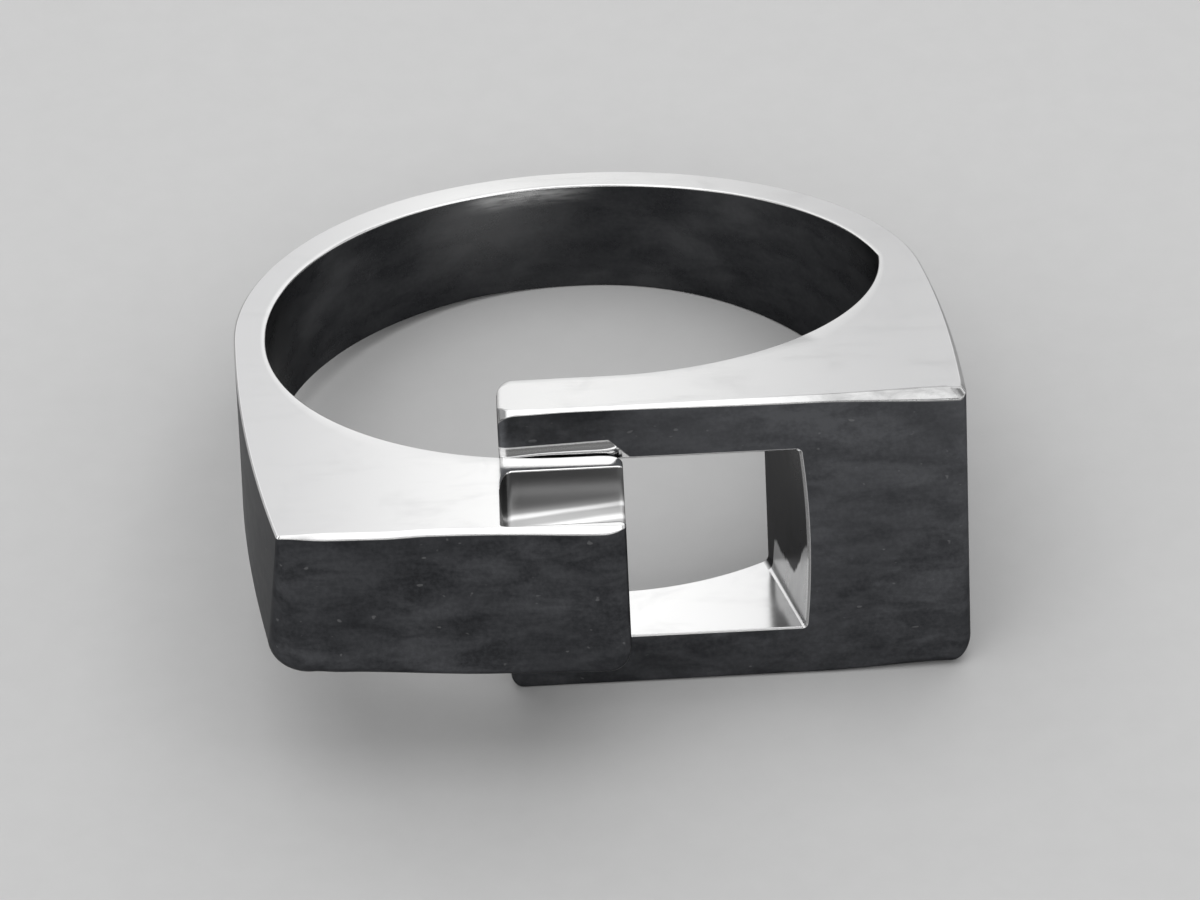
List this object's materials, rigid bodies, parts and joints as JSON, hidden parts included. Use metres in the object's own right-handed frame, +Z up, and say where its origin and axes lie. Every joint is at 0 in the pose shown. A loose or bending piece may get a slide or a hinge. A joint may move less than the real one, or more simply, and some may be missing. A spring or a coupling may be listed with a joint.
{
  "type": "adjustable open ring",
  "caption": "Open silver finger ring whose tall windowed arm lies behind a lower arm that ends in a scooped trough.",
  "frame": {"origin": "middle of the ring's box, on the surface that it lies on", "axes": "+X toward the wide arm's flank, +Y toward the back of the band, +Z up, 9.4 degrees off the finger's line"},
  "size_m": [0.0216, 0.0244, 0.0095],
  "materials": {
    "silver": "cast silver, side faces and trough polished, front faces satin with fine scratches"
  },
  "bodies": {
    "root": {"ring": "silver"}
  },
  "joints": []
}
